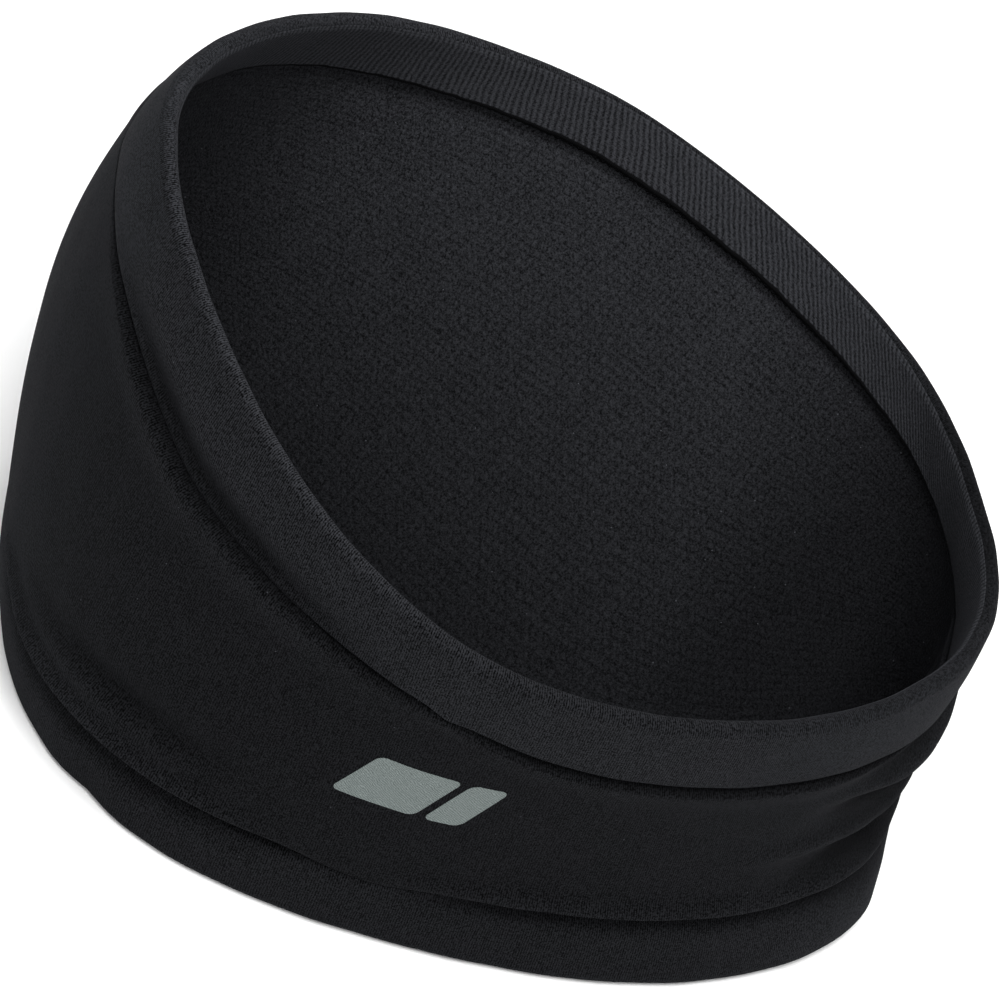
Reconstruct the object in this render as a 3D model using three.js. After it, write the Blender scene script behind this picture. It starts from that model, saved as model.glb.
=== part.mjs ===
// A sports headband: a knitted tube worn round the head, tall over the forehead and lower at the nape.
// Both rims are turned inwards into doubled hems, each held by a seam thread in the outer groove and an
// edge thread that binds the turned-in edge. A reflective film in two pieces is pressed on one temple.
//
// Millimetres. +Z is up and the lower rim stands on z = 0. The forehead faces -Y, the nape faces +Y and
// the wearer's left temple, with the film, faces +X. Angles go round from the forehead towards +X.

import * as THREE from "three";

// --- Driving dimensions -------------------------------------------------------------------------------

// The upper rim: an oval with drawn-out ends, wider over the forehead than at the nape.
const UPPER_RIM = {
  halfLength: 91.5,
  leftHalfWidth: 78.7,
  rightHalfWidth: 78.7,
  tuck: 0,
  tuckLean: 0,
  setForward: 6.4,
  setAside: -2.2,
  widening: 0.14,
  foreheadSquareness: 1.62,
  napeSquareness: 1.95,
};

// The lower rim, flat on the surface that the headband stands on: a full oval on the wearer's left, while
// the right side is tucked in towards it, the more so near the nape, so that the right wall lies aslant.
const LOWER_RIM = {
  halfLength: 91.4,
  leftHalfWidth: 74.4,
  rightHalfWidth: 24.7,
  tuck: 57.3,
  tuckLean: -0.84,
  setForward: 0,
  setAside: 0,
  widening: 0.16,
  foreheadSquareness: 2.5,
  napeSquareness: 2.5,
};
const OVAL_ROUNDING = 0.01; // softens the four turning points of both ovals
const TUCK_POWER = 3.4; // how much the tuck keeps to the middle of the side

// Height of the upper rim above the lower one.
const TEMPLE_HEIGHT = 81;
const FOREHEAD_RISE = 28; // how much the forehead is taller than the temples
const NAPE_DROP = 7.5; // how much the nape is lower than the temples
const RIM_SAG = 2.3; // how much the rim sags behind the forehead and lifts behind the temples
const LEFT_DROP = 0.6; // how much the left temple is lower than the mean of the two
const TEMPLE_TWIST = 1.1; // the rim's slight lean between the temples

// How far the wall swells out between the rims, and where the swell is fullest.
const FOREHEAD_SWELL = 9.5;
const TEMPLE_SWELL = 1.6;
const NAPE_SWELL = -1;
const LEFT_FLATTENING = 3.5; // how much less the left temple swells
const RIGHT_BELLY = 12.6; // how much more the slanting right wall swells
const BELLY_LEAN = 1.8; // how much more of that belly lies towards the forehead
const SWELL_FULLEST = 0.46;
const BELLY_FULLEST = 0.6;
const SIDE_BLEND = 0.03; // softens the change from the left side to the right

// Fabric, hems, threads and film.
const PLY = 1.4;
const UPPER_HEM_DEPTH = 18;
const LOWER_HEM_DEPTH = 18;
const HEM_FOLD = 0.9; // air inside a turned hem, between its two plies
const HEM_PUFF = 0.5; // how far the hem's middle stands proud of the wall
const RIM_FLAT = 1.8; // width of the lower rim's flat, where it stands
const THREAD_RADIUS = 0.3;
const CLEARANCE = 0.3;

const FILM = {
  thickness: 0.25,
  angle: 86,
  height: 42.5,
  depth: 12.5,
  slant: 6.5,
  longPiece: 16,
  shortPiece: 7,
  split: 1.8,
};

// Fineness of the surfaces.
const RING_STEPS = 80;
const WALL_ROWS = 6;
const HEM_ROWS = 3;
const CREST_POINTS = 3;
const THREAD_SIDES = 5;
const FILM_STEPS = { long: 6, short: 3, up: 4 };

// --- The wall -----------------------------------------------------------------------------------------

const SEAM_WIDTH = 2 * (THREAD_RADIUS + CLEARANCE);
const NEARBY = 0.01; // radians to either side when a direction round the head is worked out

// A point of a rim's oval: the unit oval |x|^n + |y|^n = 1, stretched to the rim's half length and widths,
// tucked in on the right, and widened towards the forehead.
function rimPoint(rim, angle, z) {
  const c = Math.cos(angle);
  const s = Math.sin(angle);
  const n = c > 0 ? rim.foreheadSquareness : rim.napeSquareness;
  const soft = (value) => Math.pow(value * value + OVAL_ROUNDING, n / 2);
  const r = Math.pow((soft(c) + soft(s)) / (soft(1) + soft(0)), -1 / n);
  const halfWidth = s > 0 ? rim.leftHalfWidth : rim.rightHalfWidth;
  const tucked = rim.tuck * Math.pow(Math.max(-r * s, 0), TUCK_POWER) * (1 + rim.tuckLean * c);
  const x = rim.setAside + (halfWidth * r * s + tucked) * (1 + rim.widening * r * c);
  const y = -rim.setForward - rim.halfLength * r * c;
  return new THREE.Vector3(x, y, z);
}

// Height of the upper rim: the temples' height, plus the forehead's rise or less the nape's drop.
function rimHeight(angle) {
  const c = Math.cos(angle);
  const s = Math.sin(angle);
  const tilt = (FOREHEAD_RISE + NAPE_DROP) / 2;
  const dip = (FOREHEAD_RISE - NAPE_DROP) / 2;
  const even = TEMPLE_HEIGHT + tilt * c + dip * c * c - RIM_SAG * (c - c * c * c);
  return even - LEFT_DROP * s + TEMPLE_TWIST * Math.sin(2 * angle);
}

// How much a place belongs to the right side, from 0 on the left to about 1 at the right temple.
function rightShare(angle) {
  const s = Math.sin(angle);
  return (Math.sqrt(s * s + SIDE_BLEND) - s) / 2;
}

// The swell's depth round the head: even on both sides, then flattened on the left and fuller on the right.
function swellDepth(angle) {
  const c = Math.cos(angle);
  const tilt = (FOREHEAD_SWELL - NAPE_SWELL) / 2;
  const mean = (FOREHEAD_SWELL + NAPE_SWELL) / 2 - TEMPLE_SWELL;
  const even = TEMPLE_SWELL + tilt * c + mean * c * c;
  const left = LEFT_FLATTENING * rightShare(-angle);
  return even - left + (RIGHT_BELLY + BELLY_LEAN * c) * rightShare(angle);
}

// The middle of the ply at one angle and share of the slope: a straight slope, swollen outwards.
function middleAt(angle, share) {
  const foot = rimPoint(LOWER_RIM, angle, 0);
  const head = rimPoint(UPPER_RIM, angle, rimHeight(angle));
  const outward = new THREE.Vector3(
    Math.sin(angle) / LOWER_RIM.leftHalfWidth,
    -Math.cos(angle) / LOWER_RIM.halfLength,
    0,
  ).normalize();
  const fullest = SWELL_FULLEST + (BELLY_FULLEST - SWELL_FULLEST) * rightShare(angle);
  const lifted = Math.pow(THREE.MathUtils.clamp(share, 0, 1), Math.log(0.5) / Math.log(fullest));
  return foot.lerp(head, share).addScaledVector(outward, swellDepth(angle) * 4 * lifted * (1 - lifted));
}

// The wall at one angle: its slope length, and a place on it at any height s up the slope and any distance
// out from the middle of the ply, level and square to the way round.
function wallAt(angle) {
  const length = rimPoint(UPPER_RIM, angle, rimHeight(angle)).distanceTo(rimPoint(LOWER_RIM, angle, 0));
  const place = (s, out) => {
    const share = s / length;
    const round = middleAt(angle + NEARBY, share).sub(middleAt(angle - NEARBY, share));
    const outward = new THREE.Vector3(round.y, -round.x, 0).normalize();
    return middleAt(angle, share).addScaledVector(outward, out);
  };
  return { length, place };
}

// --- Ways of making the pieces ------------------------------------------------------------------------

// A closed ring whose section, a loop of [s, out] pairs worked out at each angle, is carried round.
function ringOf(sectionAt) {
  const corners = sectionAt(wallAt(0).length).length;
  const ring = new THREE.TorusGeometry(2, 1, corners, RING_STEPS);
  const { position, uv } = ring.attributes;
  for (let i = 0; i < position.count; i += 1) {
    const wall = wallAt(2 * Math.PI * (uv.getX(i) % 1));
    const section = sectionAt(wall.length);
    const [s, out] = section[Math.round(uv.getY(i) * corners) % corners];
    position.setXYZ(i, ...wall.place(s, out).toArray());
  }
  return ring;
}

// A loop that goes up one face and down the other, each face a list of [s, out] pairs from the foot up.
function loop(outerFace, innerFace) {
  return [...outerFace, ...innerFace.toReversed()];
}

// A face as evenly spaced rows from low to high, with its distance out given by a rule of the share.
function face(low, high, rows, outAt) {
  return Array.from({ length: rows + 1 }, (_, i) => {
    const share = i / rows;
    return [low + (high - low) * share, outAt(share)];
  });
}

// A small round section for a thread, centred on [s, out].
function threadSection(s, out) {
  return Array.from({ length: THREAD_SIDES }, (_, i) => {
    const turn = (2 * Math.PI * i) / THREAD_SIDES;
    return [s - THREAD_RADIUS * Math.cos(turn), out + THREAD_RADIUS * Math.sin(turn)];
  });
}

// --- The pieces ---------------------------------------------------------------------------------------

const HEM_OUTER = PLY / 2;
const HEM_INNER = -PLY / 2 - HEM_FOLD - PLY;
const HEM_MIDDLE = (HEM_OUTER + HEM_INNER) / 2;
const HEM_HALF = (HEM_OUTER - HEM_INNER) / 2;

// The single ply between the two seams.
function bodySection(length) {
  const low = LOWER_HEM_DEPTH + SEAM_WIDTH;
  const high = length - UPPER_HEM_DEPTH - SEAM_WIDTH;
  const side = (out) => face(low, high, WALL_ROWS, () => out);
  return loop(side(PLY / 2), side(-PLY / 2));
}

// Half the hem's thickness, which swells in its middle, with share 0 at the seam.
function hemHalf(share) {
  return HEM_HALF + HEM_PUFF * Math.sin(Math.PI * share);
}

// The upper hem: two plies from the seam to the crest, which is rounded over.
function upperHemSection(length) {
  const low = length - UPPER_HEM_DEPTH;
  const shoulder = length - HEM_HALF;
  const side = (sign) => face(low, shoulder, HEM_ROWS, (share) => HEM_MIDDLE + sign * hemHalf(share));
  const crest = Array.from({ length: CREST_POINTS }, (_, i) => {
    const turn = (Math.PI * (i + 1)) / (CREST_POINTS + 1);
    return [shoulder + HEM_HALF * Math.sin(turn), HEM_MIDDLE + HEM_HALF * Math.cos(turn)];
  });
  return [...side(1), ...crest, ...side(-1).toReversed()];
}

// The lower hem: the same two plies, standing on the flat of the lower rim.
function lowerHemSection() {
  const shoulder = HEM_HALF - RIM_FLAT / 2;
  const side = (sign) =>
    face(shoulder, LOWER_HEM_DEPTH, HEM_ROWS, (share) => HEM_MIDDLE + sign * hemHalf(share));
  const flat = (sign) => [0, HEM_MIDDLE + (sign * RIM_FLAT) / 2];
  return loop([flat(1), ...side(1)], [flat(-1), ...side(-1)]);
}

const OUTER_GROOVE = PLY / 2 - THREAD_RADIUS - CLEARANCE / 2;
const INNER_EDGE = -PLY / 2 - CLEARANCE - THREAD_RADIUS;

// A point of the film, from its place in millimetres: along the temple, up from its middle, and out.
function filmPlace(along, up, out) {
  const angle = THREE.MathUtils.degToRad(FILM.angle);
  const middle = wallAt(angle).place(FILM.height, 0);
  const nearby = wallAt(angle + NEARBY).place(FILM.height, 0);
  const perAngle = nearby.distanceTo(middle) / NEARBY;
  const wall = wallAt(angle + along / perAngle);
  return wall.place(FILM.height + up, out);
}

// One slanted piece of the film, between two places along the temple.
function filmPiece(start, end, steps) {
  const width = end - start;
  const sheet = new THREE.BoxGeometry(width, FILM.depth, FILM.thickness, steps, FILM_STEPS.up, 1);
  sheet.translate((start + end) / 2, 0, PLY / 2 + CLEARANCE + FILM.thickness / 2);
  const { position } = sheet.attributes;
  for (let i = 0; i < position.count; i += 1) {
    const up = position.getY(i);
    const along = position.getX(i) + (FILM.slant * up) / FILM.depth;
    position.setXYZ(i, ...filmPlace(along, up, position.getZ(i)).toArray());
  }
  return sheet;
}

// Each seam thread lies in the outer groove between the body and a hem.
function upperSeamSection(length) {
  return threadSection(length - UPPER_HEM_DEPTH - SEAM_WIDTH / 2, OUTER_GROOVE);
}

function lowerSeamSection() {
  return threadSection(LOWER_HEM_DEPTH + SEAM_WIDTH / 2, OUTER_GROOVE);
}

// Each edge thread binds the turned-in edge against the inner face.
function upperEdgeSection(length) {
  return threadSection(length - UPPER_HEM_DEPTH - SEAM_WIDTH / 2, INNER_EDGE);
}

function lowerEdgeSection() {
  return threadSection(LOWER_HEM_DEPTH + SEAM_WIDTH / 2, INNER_EDGE);
}

const FILM_LENGTH = FILM.longPiece + FILM.split + FILM.shortPiece;

function longFilm() {
  const start = -FILM_LENGTH / 2;
  return filmPiece(start, start + FILM.longPiece, FILM_STEPS.long);
}

function shortFilm() {
  const end = FILM_LENGTH / 2;
  return filmPiece(end - FILM.shortPiece, end, FILM_STEPS.short);
}

// --- Finishes and assembly ----------------------------------------------------------------------------

const KNIT = { color: 0x17181a, roughness: 0.95, metalness: 0 };
const HEM_KNIT = { color: 0x1a1b1d, roughness: 0.92, metalness: 0 };
const THREAD = { color: 0x0e0f10, roughness: 0.8, metalness: 0 };
const REFLECTIVE = { color: 0x8e9693, roughness: 0.45, metalness: 0.3 };

function piece(name, geometry, finish) {
  const mesh = new THREE.Mesh(geometry, new THREE.MeshStandardMaterial(finish));
  mesh.name = name;
  return mesh;
}

const headband = new THREE.Group();
headband.add(
  piece("band_body", ringOf(bodySection), KNIT),
  piece("upper_hem", ringOf(upperHemSection), HEM_KNIT),
  piece("lower_hem", ringOf(lowerHemSection), HEM_KNIT),
  piece("upper_seam_thread", ringOf(upperSeamSection), THREAD),
  piece("lower_seam_thread", ringOf(lowerSeamSection), THREAD),
  piece("upper_edge_thread", ringOf(upperEdgeSection), THREAD),
  piece("lower_edge_thread", ringOf(lowerEdgeSection), THREAD),
  piece("reflective_film_long", longFilm(), REFLECTIVE),
  piece("reflective_film_short", shortFilm(), REFLECTIVE),
);

// The origin is under the middle of the headband, on the surface that it stands on.
const extent = new THREE.Box3().setFromObject(headband);
const middle = extent.getCenter(new THREE.Vector3());
headband.position.set(-middle.x, -middle.y, -extent.min.z);

export default headband;
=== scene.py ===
"""A knitted sports headband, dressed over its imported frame.

The headband is one seamless knitted tube. Its wall stands on the lower rim, rises high over the
forehead and low at the nape, and both rims are turned inwards into doubled hems. Every surface is
worked out on a grid round the head and up the wall, in metres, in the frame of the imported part.
"""

import logging
from dataclasses import dataclass, field
from enum import Enum

import bpy
import numpy as np
from mathutils import Matrix, Vector

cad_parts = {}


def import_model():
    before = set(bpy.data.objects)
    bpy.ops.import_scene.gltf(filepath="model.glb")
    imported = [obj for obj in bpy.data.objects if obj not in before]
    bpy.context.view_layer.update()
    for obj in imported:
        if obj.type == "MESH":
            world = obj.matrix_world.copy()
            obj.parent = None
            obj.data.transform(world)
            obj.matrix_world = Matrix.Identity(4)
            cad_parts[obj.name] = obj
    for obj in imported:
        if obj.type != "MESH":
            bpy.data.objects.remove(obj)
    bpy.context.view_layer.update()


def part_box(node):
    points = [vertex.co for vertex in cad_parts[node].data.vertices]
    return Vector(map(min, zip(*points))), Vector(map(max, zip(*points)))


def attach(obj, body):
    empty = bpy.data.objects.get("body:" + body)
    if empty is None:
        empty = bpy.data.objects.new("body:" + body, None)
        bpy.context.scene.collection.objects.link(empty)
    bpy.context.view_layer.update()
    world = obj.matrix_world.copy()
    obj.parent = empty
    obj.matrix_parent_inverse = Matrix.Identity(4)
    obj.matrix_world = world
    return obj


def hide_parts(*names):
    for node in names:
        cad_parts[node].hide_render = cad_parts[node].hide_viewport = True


MM = 0.001
TURN = 2.0 * np.pi
ROOT = "root"

Array = np.ndarray
Piece = bpy.types.Object
Material = bpy.types.Material
Socket = bpy.types.NodeSocket
Colour = tuple[float, float, float, float]
Point = tuple[float, float, float]

log = logging.getLogger("headband")


class Edge(Enum):
    """One of the two rims, with its hem and its seam."""

    UPPER = "upper"
    LOWER = "lower"


class Face(Enum):
    """The material slot of a piece that a strip of its section takes."""

    OUTSIDE = 0
    INSIDE = 1
    # The cut edge of a hem's ply, dark as its thread, and the rows next to it, dark as painted shadow
    # under the lip.
    CUT = 2


# --- Shape of the wall ---


@dataclass(frozen=True)
class Rim:
    """One rim's outline, seen from above: an oval between an ellipse and a rounded square.

    The outline is |x|^n + |y|^n = 1, stretched to the half length and to each side's half width,
    widened towards the forehead, and moved forward and aside. Its exponent n differs over the forehead
    and at the nape. The tuck pushes the right side in by a power of its distance out, the more so near
    the nape.
    """

    half_length: float
    left_half_width: float
    right_half_width: float
    forehead_squareness: float
    nape_squareness: float
    widening: float
    set_forward: float = 0.0
    set_aside: float = 0.0
    tuck: float = 0.0
    tuck_lean: float = 0.0
    tuck_power: float = 3.4
    rounding: float = 0.01

    def outline(self, angle: Array) -> tuple[Array, Array]:
        """The outline's x and y at each angle from the forehead towards +X.

        Args:
            angle: Angles in radians.

        Returns:
            The x and the y of the outline, each of the angles' shape.
        """
        c, s = np.cos(angle), np.sin(angle)
        n = np.where(c > 0, self.forehead_squareness, self.nape_squareness)
        full = (1 + self.rounding) ** (n / 2) + self.rounding ** (n / 2)
        reach = (c * c + self.rounding) ** (n / 2) + (s * s + self.rounding) ** (n / 2)
        r = (reach / full) ** (-1 / n)
        half_width = np.where(s > 0, self.left_half_width, self.right_half_width)
        tucked = self.tuck * np.maximum(-r * s, 0) ** self.tuck_power * (1 + self.tuck_lean * c)
        x = self.set_aside + (half_width * r * s + tucked) * (1 + self.widening * r * c)
        y = -self.set_forward - self.half_length * r * c
        return x, y


@dataclass(frozen=True)
class Fold:
    """A ridge or a dent that runs round part of the wall, beside a seam.

    Its section is a bell, exp(-(d / width)^2), where d is the distance up the wall from the fold's
    line and the width differs above and below. Along the wall it fades out at both ends. The line's
    distance from the seam is counted into the body, so a line on the hem has a distance below 0.
    """

    middle: float
    reach: float
    fade: float
    edge: Edge
    distance: float
    above: float
    below: float
    depth: float
    slant: float = 0.0

    def push(self, angle: Array, rise: Array, seam: Array) -> Array:
        """How far the fold pushes the cloth out.

        Args:
            angle: Angles in radians.
            rise: Distances up the wall from the lower rim.
            seam: The height of the fold's seam at each angle.

        Returns:
            The push along the outward normal, in metres.
        """
        turn = np.degrees(angle) - self.middle
        turn = (turn + 180.0) % 360.0 - 180.0
        along = smooth_step((self.reach + self.fade - np.abs(turn)) / (2 * self.fade))
        into_body = self.distance + self.slant * turn
        line = seam - into_body if self.edge is Edge.UPPER else seam + into_body
        d = rise - line
        width = np.where(d > 0, self.above, self.below)
        return self.depth * along * np.exp(-((d / width) ** 2))


def folds(edge: Edge, *table: tuple[float, ...]) -> tuple[Fold, ...]:
    """Makes the folds beside one edge.

    Args:
        edge: The edge.
        table: For each fold its first three values in degrees and the others in millimetres.

    Returns:
        The folds, in metres.
    """
    return tuple(Fold(*row[:3], edge, *(size * MM for size in row[3:])) for row in table)


@dataclass(frozen=True)
class SeamLine:
    """A hem's depth round the head, as stations of (degrees, millimetres).

    The depth is straight between stations, and is then averaged over some degrees either way.
    """

    stations: tuple[tuple[float, float], ...]
    averaged_over: float = 5.0
    samples: int = 11

    def depth(self, angle: Array) -> Array:
        """The depth at each angle, in metres."""
        places, depths = np.array(self.stations).T
        spread = np.linspace(-self.averaged_over, self.averaged_over, self.samples)
        degrees = np.degrees(angle)
        tries = [np.interp(degrees + turn, places, depths, period=360.0) for turn in spread]
        return np.mean(tries, axis=0) * MM


def smooth_step(x: Array) -> Array:
    """Rises smoothly from 0 to 1 as x goes from 0 to 1."""
    x = np.clip(x, 0.0, 1.0)
    return x * x * (3.0 - 2.0 * x)


@dataclass
class Wall:
    """The cloth's middle surface and its frame at any place."""

    upper: Rim
    lower: Rim
    temple_height: float = 81 * MM
    forehead_rise: float = 28 * MM
    nape_drop: float = 7.5 * MM
    rim_sag: float = 2.3 * MM
    left_drop: float = 0.6 * MM
    temple_twist: float = 1.1 * MM
    forehead_swell: float = 9.5 * MM
    temple_swell: float = 1.6 * MM
    nape_swell: float = -1 * MM
    left_flattening: float = 3.5 * MM
    right_belly: float = 12.6 * MM
    belly_lean: float = 1.8 * MM
    swell_fullest: float = 0.46
    belly_fullest: float = 0.6
    side_blend: float = 0.03
    proud: float = 0.8 * MM
    foot_flare: float = 1.1 * MM
    flare_power: int = 3
    left_from: float = -0.05
    left_to: float = 0.4
    ripple: float = 0.16 * MM
    # The next five set the painted shade in the folds' dents and the painted highlight on their rolls and
    # on the upper crest.
    full_painted_shade: float = 2.2 * MM
    crest_highlight_width: float = 0.8 * MM
    crest_highlight: float = 1.5
    crest_highlight_from: float = -0.3
    painted_light_range: tuple[float, float] = (-2.0, 1.0)
    waves: tuple[tuple[float, ...], ...] = ((9, 5, 0.0, 1.0), (23, -7, 1.3, 0.7), (41, 17, 0.4, 0.5))
    upper_line: SeamLine = SeamLine(((0.0, 18.0),))
    lower_line: SeamLine = SeamLine(((0.0, 18.0),))
    folds: tuple[Fold, ...] = ()
    offset: Array = field(default_factory=lambda: np.zeros(3))

    def ends(self, angle: Array) -> tuple[Array, Array]:
        """The wall's foot and head at each angle, as (..., 3) arrays."""
        c, s = np.cos(angle), np.sin(angle)
        tilt = (self.forehead_rise + self.nape_drop) / 2
        dip = (self.forehead_rise - self.nape_drop) / 2
        high = self.temple_height + tilt * c + dip * c * c - self.rim_sag * (c - c**3)
        high += self.temple_twist * np.sin(2 * angle) - self.left_drop * s
        foot = np.stack([*self.lower.outline(angle), np.zeros_like(angle)], -1)
        head = np.stack([*self.upper.outline(angle), high], -1)
        return foot, head

    def slope(self, angle: Array) -> Array:
        """The length of the wall from its foot to its head."""
        foot, head = self.ends(angle)
        return np.linalg.norm(head - foot, axis=-1)

    def seam(self, angle: Array, edge: Edge) -> Array:
        """How high up the slope a seam is."""
        if edge is Edge.UPPER:
            return self.slope(angle) - self.upper_line.depth(angle)
        return self.lower_line.depth(angle)

    def right_share(self, angle: Array) -> Array:
        """Tells how much a place belongs to the right side, from 0 to about 1, with a soft change."""
        s = np.sin(angle)
        return (np.sqrt(s * s + self.side_blend) - s) / 2

    def unevenness(self, angle: Array, share: Array) -> Array:
        """The knit's faint waviness, between -1 and 1.

        Each of the waves has a count round the head, a turn up the wall, a start and a weight.
        """
        heights = (w * np.sin(n * angle + up * share + start) for n, up, start, w in self.waves)
        return sum(heights) / sum(wave[-1] for wave in self.waves)

    def swell_depth(self, angle: Array) -> Array:
        """The swell's depth: a quadratic of the cosine, and more on the right."""
        c = np.cos(angle)
        tilt = (self.forehead_swell - self.nape_swell) / 2
        mean = (self.forehead_swell + self.nape_swell) / 2 - self.temple_swell
        even = self.temple_swell + tilt * c + mean * c * c
        right = (self.right_belly + self.belly_lean * c) * self.right_share(angle)
        return even + right - self.left_flattening * self.right_share(-angle)

    def middle(self, angle: Array, rise: Array) -> Array:
        """The middle surface: a straight slope that swells outwards.

        The swell is 4 w (1 - w) times its depth, where w is the share of the slope raised to a power
        that puts the fullest place at its share.

        Args:
            angle: Angles in radians.
            rise: Distances up the slope from the lower rim, of the same shape.

        Returns:
            Points, as an array with a last axis of 3.
        """
        foot, head = self.ends(angle)
        share = rise / np.linalg.norm(head - foot, axis=-1)
        out = np.stack(
            [
                np.sin(angle) / self.lower.left_half_width,
                -np.cos(angle) / self.lower.half_length,
                np.zeros_like(angle),
            ],
            -1,
        )
        out /= np.linalg.norm(out, axis=-1, keepdims=True)
        lift = self.belly_fullest - self.swell_fullest
        fullest = self.swell_fullest + lift * self.right_share(angle)
        w = np.clip(share, 0, 1) ** (np.log(0.5) / np.log(fullest))
        swell = self.swell_depth(angle) * 4 * w * (1 - w)
        return foot + (head - foot) * share[..., None] + out * swell[..., None] + self.offset

    def fold_push(self, angle: Array, rise: Array) -> Array:
        """Adds up how far all the folds push the cloth out at each place."""
        seams = {edge: self.seam(angle, edge) for edge in Edge}
        return sum((f.push(angle, rise, seams[f.edge]) for f in self.folds), 0 * rise)

    def painted_light(self, angle: Array, rise: Array) -> Array:
        """Paints light into the knit at each place: 1 is full painted shade in a deep crease, 0 is none
        where flat, below 0 is a painted highlight on a roll.

        The crest of the upper rim is counted as a high roll, so it gets a painted highlight, strongest
        over the forehead and fading out towards the nape.
        """
        crest = np.exp(-(((self.slope(angle) - rise) / self.crest_highlight_width) ** 2))
        crest = crest * smooth_step(np.cos(angle) - self.crest_highlight_from)
        # Painted shade where the folds push the cloth in, painted highlight where they push it out and
        # along the upper crest over the forehead.
        painted_shade_and_highlight = -self.fold_push(angle, rise) / self.full_painted_shade - self.crest_highlight * crest
        return np.clip(painted_shade_and_highlight, *self.painted_light_range)

    def place(self, angle: Array, rise: Array, out: Array) -> Array:
        """Places points a given distance out from the middle surface, folds included.

        Past either rim the surface goes straight on. The outward normal is the cross product of the
        directions round the head and up the wall, found by central differences.

        Args:
            angle: Angles in radians.
            rise: Distances up the slope.
            out: Distances along the outward normal.

        Returns:
            Points, as an array with a last axis of 3.
        """
        slope = self.slope(angle)
        margin = 1.5 * MM
        base = np.clip(rise, margin, slope - margin)
        step_round, step_up = 1e-3, 0.2 * MM
        round_way = self.middle(angle + step_round, base) - self.middle(angle - step_round, base)
        up_way = self.middle(angle, base + step_up) - self.middle(angle, base - step_up)
        up_way /= np.linalg.norm(up_way, axis=-1, keepdims=True)
        normal = np.cross(round_way, up_way)
        normal /= np.linalg.norm(normal, axis=-1, keepdims=True)
        push = out + self.fold_push(angle, rise)
        share = np.clip(rise / slope, 0, 1)
        left = smooth_step((np.sin(angle) - self.left_from) / (self.left_to - self.left_from))
        push = push + left * (self.proud + self.foot_flare * (1 - share) ** self.flare_power)
        push = push + self.ripple * self.unevenness(angle, share)
        flat = self.middle(angle, base) + up_way * (rise - base)[..., None]
        points = flat + normal * push[..., None]
        points[..., 2] = np.maximum(points[..., 2], 0.0)
        return points


# --- Meshes ---


@dataclass
class Strip:
    """A run of a section: its distances up the wall and out, and the face that it shows.

    rise and out are arrays of shape (angles, points).
    """

    rise: Array
    out: Array
    face: Face

    def split(self, at: int, before: Face, after: Face) -> tuple["Strip", "Strip"]:
        """Splits the run in two, each with a face of its own."""
        first = Strip(self.rise[:, :at], self.out[:, :at], before)
        return first, Strip(self.rise[:, at:], self.out[:, at:], after)


@dataclass(frozen=True)
class Ring:
    """Angles round the head for the grids of the pieces that go all the way round."""

    steps: int = 720

    def angles(self) -> Array:
        """Evenly spaced angles as a column."""
        return (TURN * np.arange(self.steps) / self.steps)[:, None]


def linked(name: str, data: bpy.types.ID) -> Piece:
    """Makes an object of its data and links it to the scene."""
    made = bpy.data.objects.new(name, data)
    bpy.context.scene.collection.objects.link(made)
    return made


def new_mesh(
    name: str,
    points: Array,
    quads: Array,
    uvs: Array,
    faces: Array,
    painted_light: Array,
) -> Piece:
    """Makes a smooth-shaded mesh object from whole arrays.

    Args:
        name: The piece's name.
        points: Vertices, (n, 3).
        quads: Corner numbers, (m, 4), anticlockwise from outside.
        uvs: The uv of every corner, (m, 4, 2), in metres along the cloth.
        faces: Material slot of every quad, (m,).
        painted_light: The painted shade and highlight at every vertex, (n,), as Wall.painted_light tells
            it.

    Returns:
        The object, linked to the scene.
    """
    mesh = bpy.data.meshes.new(name)
    mesh.vertices.add(len(points))
    mesh.vertices.foreach_set("co", points.astype(np.float32).ravel())
    mesh.loops.add(quads.size)
    mesh.loops.foreach_set("vertex_index", quads.astype(np.int32).ravel())
    mesh.polygons.add(len(quads))
    mesh.polygons.foreach_set("loop_start", np.arange(0, quads.size, 4, dtype=np.int32))
    mesh.polygons.foreach_set("material_index", faces.astype(np.int32))
    mesh.update(calc_edges=True)
    mesh.uv_layers.new(name="cloth")
    mesh.uv_layers["cloth"].data.foreach_set("uv", uvs.astype(np.float32).ravel())
    # The painted shade and highlight go on the mesh as an attribute for the knit's colour.
    painted_shade_and_highlight = mesh.attributes.new("painted_light", "FLOAT", "POINT")
    painted_shade_and_highlight.data.foreach_set("value", painted_light.astype(np.float32).ravel())
    mesh.shade_smooth()
    mesh.validate()
    return linked(name, mesh)


def ring_piece(name: str, wall: Wall, angles: Array, strips: list[Strip]) -> Piece:
    """Carries a closed section round the head and makes it a piece.

    Args:
        name: The piece's name.
        wall: The wall that it lies on.
        angles: A column of angles.
        strips: The section's runs in order, which together make a closed loop.

    Returns:
        The piece. Its uv goes round the cloth and along the section, in metres.
    """
    rise = np.concatenate([s.rise for s in strips], axis=1)
    out = np.concatenate([s.out for s in strips], axis=1)
    which = np.concatenate([np.full(s.rise.shape[1], s.face.value) for s in strips])
    turns, around = rise.shape
    angles = np.broadcast_to(angles, rise.shape)
    points = wall.place(angles, rise, out)
    steps = (np.diff(way, axis=1, append=way[:, :1]) for way in (rise, out))
    v = np.concatenate([np.zeros((turns, 1)), np.cumsum(np.hypot(*steps), axis=1)], axis=1).mean(0)
    u = CLOTH_GIRTH * np.arange(turns + 1) / turns
    i, j = np.meshgrid(np.arange(turns), np.arange(around), indexing="ij")
    i, j = i.ravel(), j.ravel()
    ni, nj = (i + 1) % turns, (j + 1) % around
    quads = np.stack([a * around + b for a, b in ((i, j), (ni, j), (ni, nj), (i, nj))], -1)
    corners = ((i, j), (i + 1, j), (i + 1, j + 1), (i, j + 1))
    uvs = np.stack([np.stack([u[a], v[b]], -1) for a, b in corners], 1)
    return new_mesh(name, points.reshape(-1, 3), quads, uvs, which[j], wall.painted_light(angles, rise))


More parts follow.
